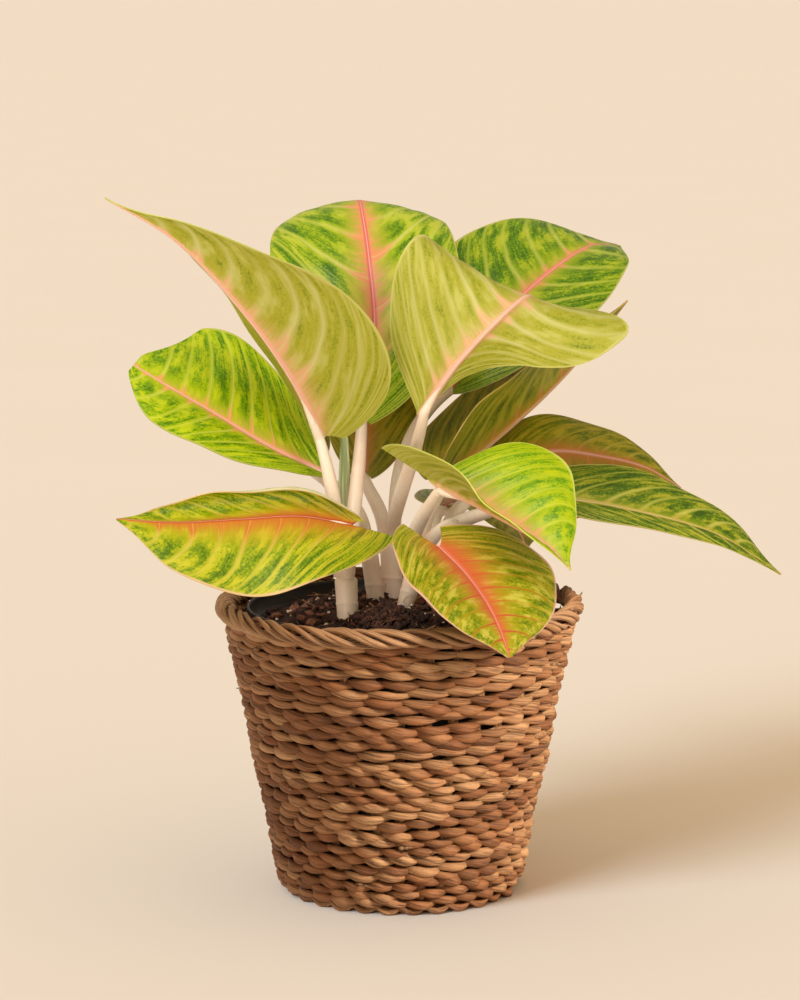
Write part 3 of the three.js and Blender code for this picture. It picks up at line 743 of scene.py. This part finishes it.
def make_blade(name, leaf, number):
    """A blade with quilting between its side veins, a wavy margin and a raised midrib below."""
    samples = spline(leaf["rib"])
    u, v = np.meshgrid(np.linspace(0, 1, BLADE_COLUMNS + 1), np.linspace(0, 1, BLADE_ROWS + 1))
    # stations lie closer together at the base, the tip and the midrib
    u = (u - 0.8 * np.sin(TURN * u) / TURN).ravel()
    t = 2 * v.ravel() - 1
    t = np.sign(t) * np.abs(t) ** 1.35
    s = np.abs(t)
    spots, width = blade_points(leaf, samples, u, t)
    table = spots.reshape(BLADE_ROWS + 1, BLADE_COLUMNS + 1, 3)
    # across the blade by along it: towards the upper side
    normal = unit(np.cross(np.gradient(table, axis=0), np.gradient(table, axis=1)).reshape(-1, 3))
    # side veins leave the midrib and bend forward to the margin
    bend = VEIN_BEND * s**1.5
    phase = VEINS_A_SIDE * (u - bend) / (1 - bend) + np.where(t < 0, 0.45, 0) + 40 * number
    quilt = np.sin(math.pi * phase) ** 2 * s * (1 - s) * 4
    quilt = quilt * smooth(u, 0, 0.1) * (1 - smooth(u, 0.8, 1))
    wave = np.sin(TURN * (2.6 * u + 1.7 * number) + np.where(t < 0, 1.3, 0)) * s**2.5
    wave = wave * smooth(u, 0, 0.2) * (1 - smooth(u, 0.6, 0.92))
    spots = spots + normal * (QUILT * quilt + WAVE * wave)[:, None]
    piece = grid(BLADE_COLUMNS, BLADE_ROWS, lambda _u, _v: spots)
    mesh = piece.data
    corners = np.empty(len(mesh.loops), int)
    mesh.loops.foreach_get("vertex_index", corners)
    aside = t * width
    # one map in millimetres off the midrib, one that counts the side veins
    for title, first, second in (("UVMap", u, 0.5 + aside / 200), ("veins", phase, t)):
        layer = mesh.uv_layers.get(title) or mesh.uv_layers.new(name=title)
        layer.data.foreach_set("uv", np.stack([first[corners], second[corners]], -1).ravel())
    for side in ("above", "below"):
        mesh.materials.append(BLADES[leaf[side]])
    middle = mesh.polygons[len(mesh.polygons) // 2]
    if Vector(normal[len(normal) // 2]).dot(middle.normal) < 0:
        mesh.flip_normals()
    wall = piece.modifiers.new("wall", "SOLIDIFY")
    wall.thickness = SHEET * MM
    wall.offset = 0
    wall.material_offset = 1
    bpy.ops.object.modifier_apply(modifier="wall")
    raise_midrib(mesh, normal, u, aside)
    bpy.ops.object.shade_smooth_by_angle(angle=math.radians(50))
    piece.name = mesh.name = f"leaf_{name}"
    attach(piece, "root")
    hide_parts(f"blade_{name}")


def make_petiole(name, leaf):
    """A stalk from its stem to under the blade, sheathed below, drawn out along the midrib."""
    foot = np.array(STEMS[leaf["stem"]]["top"], float) + (*leaf["seat"], GAP)
    spots, ahead = walk(spline(leaf["rib"]), np.array([0, 0.05, 0.12, 0.2]))
    face = np.array(leaf["face"][0], float)
    face = unit(face - ahead[0] * face.dot(ahead[0]))
    knee = np.array(leaf["knee"], float)
    arrival = unit(spots[0] - knee)
    drop = math.radians(-min(leaf["left"][0], leaf["right"][0], 0))
    slant = PETIOLE_HEAD * math.sqrt(max(0, 1 - arrival.dot(face) ** 2))
    depth = BLADE / 2 + GAP + slant + PETIOLE_HEAD * math.tan(drop) - leaf.get("tuck", 0)
    head = spots[0] - face * depth
    rise = foot + (0, 0, 16)
    s = np.linspace(0, 1, 40)[:, None]
    path = (1 - s) ** 3 * foot + 3 * (1 - s) ** 2 * s * rise + 3 * (1 - s) * s**2 * knee + s**3 * head
    under = [spots[k] - face * d for k, d in ((1, 1.7), (2, 1.2), (3, 0.7))]
    bottom = foot - (0, 0, 3)
    line = np.vstack([bottom[None], path, spline([path[-1], *under])[1:]])
    share = np.linalg.norm(np.diff(path, axis=0), axis=1).sum()
    whole = np.linalg.norm(np.diff(line, axis=0), axis=1).sum()
    end = share / whole

    def radius(u, v):
        w = np.clip(u / end, 0, 1)
        r = PETIOLE_FOOT * (1 - w) + PETIOLE_HEAD * w + PETIOLE_SWELL * np.sin(math.pi * w)
        r = r * STALK_FULLNESS * (1 - 0.85 * smooth(u, end * 0.97, 1))
        # sheath: broader low down with a cleft where its edges meet
        low = 1 - smooth(w, 0.1, 0.62)
        cleft = np.exp(-(((v - 0.6) / 0.05) ** 2))
        return r * (1 + 0.1 * low - 0.3 * low * cleft)

    piece = rod(60, 20, line, radius)
    finished(piece, f"stalk_{name}", STALK)
    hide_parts(f"petiole_{name}")


def make_leaves():
    for number, (name, leaf) in enumerate(LEAVES.items()):
        make_blade(name, leaf, number)
        make_petiole(name, leaf)


def make_stems():
    """Short pale shoots, ringed where old leaves sat, widening into the sheaths."""
    for name, stem in STEMS.items():
        foot, top = np.array(stem["foot"], float), np.array(stem["top"], float)
        foot = foot - (0, 0, 2)

        def radius(u, v):
            r = stem["radii"][0] * (1 - u) + stem["radii"][1] * u
            ring = np.exp(-(((u - 0.34 - 0.05 * np.sin(TURN * v)) / 0.025) ** 2))
            cleft = np.exp(-(((v - 0.65) / 0.045) ** 2)) * smooth(u, 0.3, 0.9)
            dome = 1 - 0.35 * smooth(u, 0.86, 1)
            return r * dome * (1 + 0.06 * ring - 0.14 * cleft)

        line = np.stack([foot * (1 - k) + top * k for k in np.linspace(0, 1, 12)])
        piece = rod(40, 28, line, radius)
        finished(piece, f"shoot_{name}", STALK)
        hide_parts(f"stem_{name}")


def make_new_leaf():
    """The youngest blade, still rolled, with the edge of its wrap standing out."""

    def radius(u, v):
        wrap = 1 + 0.18 * np.mod(v + 0.8 * u, 1)
        return (0.6 + 3 * np.sin(math.pi * (0.12 + 0.86 * u)) ** 0.7) * 0.9 * wrap

    piece = rod(60, 24, spline(NEW_LEAF), radius)
    finished(piece, "young_leaf", make_new_leaf_finish())
    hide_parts("new_leaf")


# Basket


def wall_radius(z):
    """Outside of the weave at a height, drawn in at the foot."""
    return FOOT_RADIUS + FLARE * (z - FOOT_Z) - 1.6 * np.clip(1 - z / 8, 0, 1) ** 2


def make_weft(twists, start, centre, name, straw, columns=14, rows=9, below=False):
    """One of the two rushes that twist round each other. centre(twist) gives the radius, height
    and angle of their course; each stitch has its own girth and lie. Below the basket the
    course lies flat, with its outside down."""
    girth = CHANCE.uniform(0.8, 1.22, int(twists) + 3)
    lie = CHANCE.normal(0, 0.55, int(twists) + 3)

    def place(u, v):
        twist = u * twists
        stitch = np.floor(twist).astype(int)
        phase = TURN * (twist - stitch - 0.5)
        outside = np.cos(phase / 2)
        # thick where it lies outside, thin where it dives in
        fat = 0.3 + 0.7 * np.abs(outside) ** 1.9
        fat = fat * (girth[stitch] * outside**2 + np.sin(phase / 2) ** 2)
        around = TURN * v
        out = WEAVE_DEPTH * np.cos(phase) + RUSH_THICK * fat * np.cos(around)
        up = lie[stitch] * outside - WEAVE_RISE * np.sin(phase) + RUSH_TALL * fat * np.sin(around)
        r, z, angle = centre(twist + start)
        r, z = (r + up, z - out) if below else (r + out, z + up)
        return np.stack([r * np.cos(angle), r * np.sin(angle), np.maximum(z, FLOOR_CLEARANCE)], -1)

    piece = close_up(grid(int(twists * columns), rows, place))
    return finished(piece, name, straw)


def make_wall():
    """Side of the basket: two rushes twined round and round over the stakes."""
    twists = int(COURSES * STITCHES_ROUND / 2) - 1
    straw = rush_finish("twined_rush", twists, RUSH_TONES)

    def centre(twist):
        turn = twist * 2 / STITCHES_ROUND
        z = COURSE_FIRST_Z + (COURSE_LAST_Z - COURSE_FIRST_Z) * turn / COURSES
        angle = TURN * turn + 0.05 * np.sin(5.3 * turn) + 0.03 * np.sin(17 * turn)
        z = z + 0.55 * np.sin(3 * angle + 0.35 * z) + 0.35 * np.sin(7 * angle + 1.3 + 0.2 * z)
        r = wall_radius(z) - WEAVE_DEPTH - RUSH_THICK + 0.45 * np.sin(2 * angle + 0.11 * z)
        return r, z, angle

    for number, start in enumerate((0, 0.5)):
        piece = make_weft(twists, start, centre, f"wall_weft_{number + 1}", straw)
        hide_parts("basket_wall")


def make_base():
    """Underside: the same twining wound out from the middle."""
    straw = rush_finish("base_rush", BASE_TWISTS - 1, RUSH_TONES)

    def centre(twist):
        turn = BASE_TURNS * np.sqrt(np.clip(twist / BASE_TWISTS, 0.002, 1.1))
        return 1.2 + BASE_PITCH * turn, BASE_Z, TURN * turn

    for number, start in enumerate((0, 0.5)):
        name = f"base_weft_{number + 1}"
        piece = make_weft(BASE_TWISTS - 1, start, centre, name, straw, 8, 6, below=True)
        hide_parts("basket_base")


def make_stakes():
    """Upright rushes that the weft passes over."""
    heights = np.linspace(STAKE_FOOT_Z, STAKE_TOP_Z, 24)
    line = np.stack([wall_radius(heights) - STAKE_DEPTH, 0 * heights, heights], -1)
    stake = rod(24, 8, line, lambda u, v: 1.0 + 1.5 * np.abs(np.cos(TURN * (v + 0.25))))
    step = bpy.data.objects.new("step", None)
    bpy.context.collection.objects.link(step)
    step.rotation_euler = (0, 0, TURN / STAKES)
    bpy.context.view_layer.update()
    ring = stake.modifiers.new("ring", "ARRAY")
    ring.count = STAKES
    ring.use_relative_offset = False
    ring.use_object_offset = True
    ring.offset_object = step
    bpy.context.view_layer.objects.active = stake
    bpy.ops.object.modifier_apply(modifier="ring")
    bpy.data.objects.remove(step)
    finished(stake, "wall_stakes", rush_finish("upright_rush", 8, RUSH_TONES))
    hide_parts("basket_wall")


def make_rim(straw):
    """Border cord: seven rushes laid round the rim."""
    for strand in range(RIM_STRANDS):
        sway = CHANCE.uniform(0, 6, 4)

        def place(u, v):
            angle = TURN * u
            lay = RIM_TURNS * angle + TURN * strand / RIM_STRANDS
            lay = lay + 0.35 * np.sin(3 * angle + sway[0])
            fat = 1 + 0.16 * np.sin(7 * angle + sway[1]) + 0.13 * np.sin(19 * angle + sway[2])
            cord = RIM_CORD_RADIUS + 0.3 * np.sin(8 * angle + sway[3])
            girth = RIM_STRAND_RADIUS * fat
            r = RIM_RADIUS + cord * np.cos(lay) + girth * np.cos(TURN * v)
            z = RIM_Z - cord * np.sin(lay) + 0.5 * np.sin(4 * angle + 1) + girth * np.sin(TURN * v)
            return np.stack([r * np.cos(angle), r * np.sin(angle), z], -1)

        piece = close_up(grid(RIM_TURNS * 30, 9, place))
        # the tones change where a strand is hidden inside the cord
        for corner in piece.data.uv_layers[0].data:
            corner.uv.x += (strand / RIM_STRANDS + 0.5) / RIM_TURNS
        finished(piece, f"rim_strand_{strand + 1}", straw)
        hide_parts("basket_rim")


def make_loose_ends(straw):
    """Ends of rush that stand off the rim and the side, ten of them at the right."""
    ends = []
    for number in range(LOOSE_ENDS):
        angle = CHANCE.uniform(-0.7, 0.3) if number < 10 else CHANCE.uniform(0, TURN)
        on_rim = number < LOOSE_ENDS_ON_RIM
        z = RIM_Z + CHANCE.uniform(-1, 3) if on_rim else CHANCE.uniform(12, 138)
        r = RIM_RADIUS + CHANCE.uniform(-3, 2) if on_rim else float(wall_radius(z)) - 1.5
        out = np.array((math.cos(angle), math.sin(angle), 0))
        ahead = np.array((-out[1], out[0], 0))
        start = r * out + (0, 0, z)
        length = CHANCE.uniform(5, 11)
        rise = CHANCE.uniform(0.1, 0.6) if on_rim else CHANCE.uniform(-0.3, 0.2)
        middle = start + length * 0.5 * ahead + length * (0.12 * out + (0, 0, 0.4 * rise))
        tip = start + length * ahead + length * (0.34 * out + (0, 0, rise))
        girth = CHANCE.uniform(0.5, 1.3)
        line = spline([start, middle, tip])
        ends.append(rod(10, 6, line, lambda u, v: girth * (1 - 0.7 * u)))
    piece = joined(ends)
    finished(piece, "loose_ends", straw)
    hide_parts("basket_rim")


# Pot and soil


def make_pot():
    """A thin nursery pot with a stepped lip."""
    top, neck = POT_TOP_Z, POT_TOP_Z - POT_LIP_HEIGHT
    profile = [(0, POT_FLOOR_Z), (POT_FOOT - 2, POT_FLOOR_Z), (POT_FOOT, POT_FLOOR_Z + 2),
               (POT_NECK, neck - 0.4), (POT_NECK + 0.4, neck), (POT_LIP - 0.5, neck + 0.2),
               (POT_LIP, neck + 0.7), (POT_LIP, top - 0.6), (POT_LIP - 0.5, top),
               (POT_LIP - POT_WALL + 0.4, top), (POT_LIP - POT_WALL, top - 0.5),
               (POT_LIP - POT_WALL - 0.2, neck + 1.5), (POT_NECK - POT_WALL + 0.9, neck),
               (POT_FOOT - POT_WALL, POT_FLOOR_Z + POT_WALL + 1), (0, POT_FLOOR_Z + POT_WALL)]
    piece = turned(60, 96, profile)
    finished(piece, "grow_pot", make_pot_finish())
    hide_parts("nursery_pot")


def soil_height(r):
    """Height of the soil at a distance from the middle."""
    return np.interp(r, (0, SOIL_FLAT, SOIL_RADIUS - 14, SOIL_RADIUS - 2, SOIL_RADIUS),
                     (SOIL_EDGE_Z + SOIL_MOUND, SOIL_EDGE_Z + SOIL_MOUND,
                      SOIL_EDGE_Z + SOIL_MOUND * 0.4, SOIL_EDGE_Z, SOIL_EDGE_Z - 0.6))


def make_soil(earth):
    """The soil in the pot, uneven on top."""
    foot = POT_FOOT - POT_WALL - 2
    profile = [(0, soil_height(0))]
    profile += [(r, float(soil_height(r))) for r in (20, SOIL_FLAT, 59, 71, SOIL_RADIUS)]
    profile += [(foot, POT_FLOOR_Z + POT_WALL + 2), (0, POT_FLOOR_Z + POT_WALL + 2)]
    piece = turned(190, 220, profile, roughened)
    finished(piece, "soil_bed", earth)
    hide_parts("soil")


def roughened(spots):
    """The same places with lumps of 17 mm and crumbs of 4 mm on the top of the soil."""
    out = spots.copy()
    for k, (x, y, z) in enumerate(spots):
        if z > SOIL_EDGE_Z - 3:
            slow = noise.fractal(Vector((x, y, 0)) / 17, 1, 2, 3)
            quick = noise.fractal(Vector((x, y, 9)) / 4.2, 1, 2, 4)
            out[k, 2] += 2.2 * slow + 1.3 * abs(quick) - 0.6
    return out


def crumb_moves(count, low, high, reach, lift, flat=1.0, heaped=False):
    """Places, turns and sizes for loose bits, all over the soil or on the heap."""
    moves = []
    while len(moves) < count:
        if heaped:
            x, y = CHANCE.normal(HEAP_X, HEAP_SPREAD), CHANCE.normal(HEAP_Y, HEAP_SPREAD)
        else:
            r = reach * math.sqrt(CHANCE.uniform(0, 1))
            a = CHANCE.uniform(0, TURN)
            x, y = r * math.cos(a), r * math.sin(a)
        r = math.hypot(x, y)
        if r > SOIL_RADIUS - 3:
            continue
        size = CHANCE.uniform(low, high) * MM
        z = float(soil_height(r)) + CHANCE.uniform(*lift)
        if heaped:
            off = (x - HEAP_X)**2 + (y - HEAP_Y)**2
            z += HEAP_HEIGHT * math.exp(-off / (2 * HEAP_SPREAD**2))
        turn = Euler(CHANCE.uniform(-1, 1, 3) * (0.9, 0.9, 3.1)).to_matrix().to_4x4()
        scale = Matrix.Diagonal((size * CHANCE.uniform(0.7, 1.6), size, size * flat, 1))
        moves.append(Matrix.Translation(Vector((x, y, z)) * MM) @ turn @ scale)
    return moves


def crumb_pattern(rough):
    """A small uneven lump one unit in radius."""
    deselect()
    bpy.ops.mesh.primitive_ico_sphere_add(subdivisions=2, radius=1)
    piece = bpy.context.object
    for v in piece.data.vertices:
        v.co *= 1 + rough * noise.noise(v.co * 1.7 + Vector((3, 1, 2)))
    bpy.ops.object.shade_smooth()
    return piece


def fibre_pattern():
    """A thin bent root fibre one unit long."""
    line = spline([(-500, 0, 0), (-200, 60, 90), (150, -70, 120), (500, 40, 0)])
    return rod(10, 5, line, lambda u, v: 18 * (1 - 0.6 * u))


def make_litter(earth):
    """Loose crumbs, bark, pale mineral grains and root fibres on the soil."""
    piece = scattered(crumb_pattern(0.7), crumb_moves(420, 0.7, 2.4, 70, (-0.3, 1.4), 0.7)
                      + crumb_moves(420, 0.6, 1.9, 70, (-1.5, 1.4), 0.9, heaped=True))
    finished(piece, "soil_crumbs", earth)
    # bark mottled at 3 mm, mineral grains at 2 mm, fibres at 11 mm
    bark = speckled_finish("bark_chips", ("#5A3324", "#8A5A42"), 300)
    piece = scattered(crumb_pattern(0.5), crumb_moves(90, 1.6, 3.4, 68, (0.2, 1.6), 0.3))
    finished(piece, "bark_bits", bark)
    pale = speckled_finish("perlite", ("#F2E8D6", "#CDB79A"), 500)
    piece = scattered(crumb_pattern(0.4), crumb_moves(110, 0.4, 1.0, 70, (0.6, 1.8), 0.9))
    finished(piece, "mineral_grains", pale)
    straw = speckled_finish("root_fibre", ("#C99A6B", "#7A4A2C"), 90)
    piece = scattered(fibre_pattern(), crumb_moves(90, 5, 13, 68, (1.0, 2.4))
                      + crumb_moves(60, 5, 12, 68, (-1, 1.2), heaped=True))
    finished(piece, "soil_fibres", straw)


# Setting. Places here are metres, the camera's dip is degrees.

FLOOR_RADIUS = 60
HORIZON = "#F2DDC4"
SKY = "#FFEBD2"
SKY_FILL = 0.5
EYE = (0, -1.5, 0.425)
EYE_DIP = 8.55
LENS = 108
FILM = 36

# Name, kind, place, power, colour, what it lights, and angle of a sun or size of an area. The
# paper's soft shadow falls to the right and back; the basket is lit from the right front, the
# plant from above, from the right and softly from the left front.
LAMPS = (
    ("paper_light", "SUN", (-1.2, -1.25, 1.3), 2.5, "#D8ECFF", "paper", 0.5),
    ("paper_fill", "SUN", (0, 0, 3), 0.62, "#FFD7A0", "paper", 2.6),
    ("basket_light", "AREA", (1.5, -0.9, 1.1), 50, "#FFF2E0", "basket", 0.3),
    ("basket_top", "AREA", (0.3, -0.7, 1.7), 12, "#FFFAF0", "basket", 0.5),
    ("over_light", "AREA", (-0.5, -0.9, 1.7), 17, "#FFFDF6", "plant", 0.9),
    ("side_light", "AREA", (1.3, -1.5, 1.0), 11, "#FFF6EA", "plant", 0.7),
    ("front_fill", "AREA", (-0.9, -1.7, 0.3), 16, "#FFF6EA", "plant", 1.0),
)


def make_floor():
    """Plain pale paper to the horizon."""

    def place(u, v):
        r = FLOOR_RADIUS / MM * u**2
        return np.stack([r * np.cos(TURN * v), r * np.sin(TURN * v), 0 * r], -1)

    floor = close_up(grid(40, 96, place))
    floor.name = "studio_floor"
    paper, shader = new_finish("pale_paper", Roughness=1.0, Specular_IOR_Level=0.0)
    where = own_place(paper)
    # faint clouding, 0.3 m across
    cloud = clouds(paper, where, 3, 2)
    wire(paper, shader, Base_Color=layered(paper, colour("#F4E8D8"), [(cloud, "#F2E5D3")]))
    floor.data.materials.append(paper)
    floor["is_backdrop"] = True
    return floor


def make_sky():
    """The sky meets the lit paper in its own colour at the horizon and is dimmer above."""
    world = bpy.data.worlds.new("studio")
    bpy.context.scene.world = world
    world.use_nodes = True
    parts = add(world, "SeparateXYZ", {0: add(world, "TexCoord").outputs["Generated"]})
    share = ease(world, parts.outputs[2], 0.03, 0.16)
    sky = layered(world, colour(HORIZON), [(share, dimmed(colour(SKY), SKY_FILL))])
    wire(world, world.node_tree.nodes["Background"], Color=sky)


def make_lamps(floor):
    """Soft lamps, each for the paper, the basket or the plant alone."""
    lit = {}
    for group in ("paper", "basket", "plant"):
        lit[group] = bpy.data.collections.new(f"{group}_only")
    lit["paper"].objects.link(floor)
    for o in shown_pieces():
        woven = o.name.startswith(("wall", "base", "rim", "loose"))
        lit["basket" if woven else "plant"].objects.link(o)
    for name, kind, place, power, tint, group, spread in LAMPS:
        light = bpy.data.lights.new(name, kind)
        light.energy = power
        light.color = colour(tint)[:3]
        setattr(light, "angle" if kind == "SUN" else "size", spread)
        lamp = bpy.data.objects.new(name, light)
        bpy.context.collection.objects.link(lamp)
        lamp.location = place
        aim = Vector((0, 0, 0.2)) - lamp.location
        lamp.rotation_euler = aim.to_track_quat("-Z", "Y").to_euler()
        lamp.visible_camera = False
        lamp.light_linking.receiver_collection = lit[group]


def make_camera():
    camera = bpy.data.cameras.new("camera")
    camera.lens = LENS
    camera.sensor_width = FILM
    eye = bpy.data.objects.new("camera", camera)
    bpy.context.collection.objects.link(eye)
    eye.location = EYE
    eye.rotation_euler = (math.radians(90 - EYE_DIP), 0, 0)
    bpy.context.scene.camera = eye
    bpy.context.scene.view_settings.view_transform = "Standard"


make_leaves()
make_stems()
make_new_leaf()
make_wall()
make_base()
make_stakes()
rim_straw = rush_finish("rim_rush", RIM_TURNS, RIM_TONES)
make_rim(rim_straw)
make_loose_ends(rim_straw)
make_pot()
earth = make_soil_finish()
make_soil(earth)
make_litter(earth)
make_sky()
make_lamps(make_floor())
make_camera()
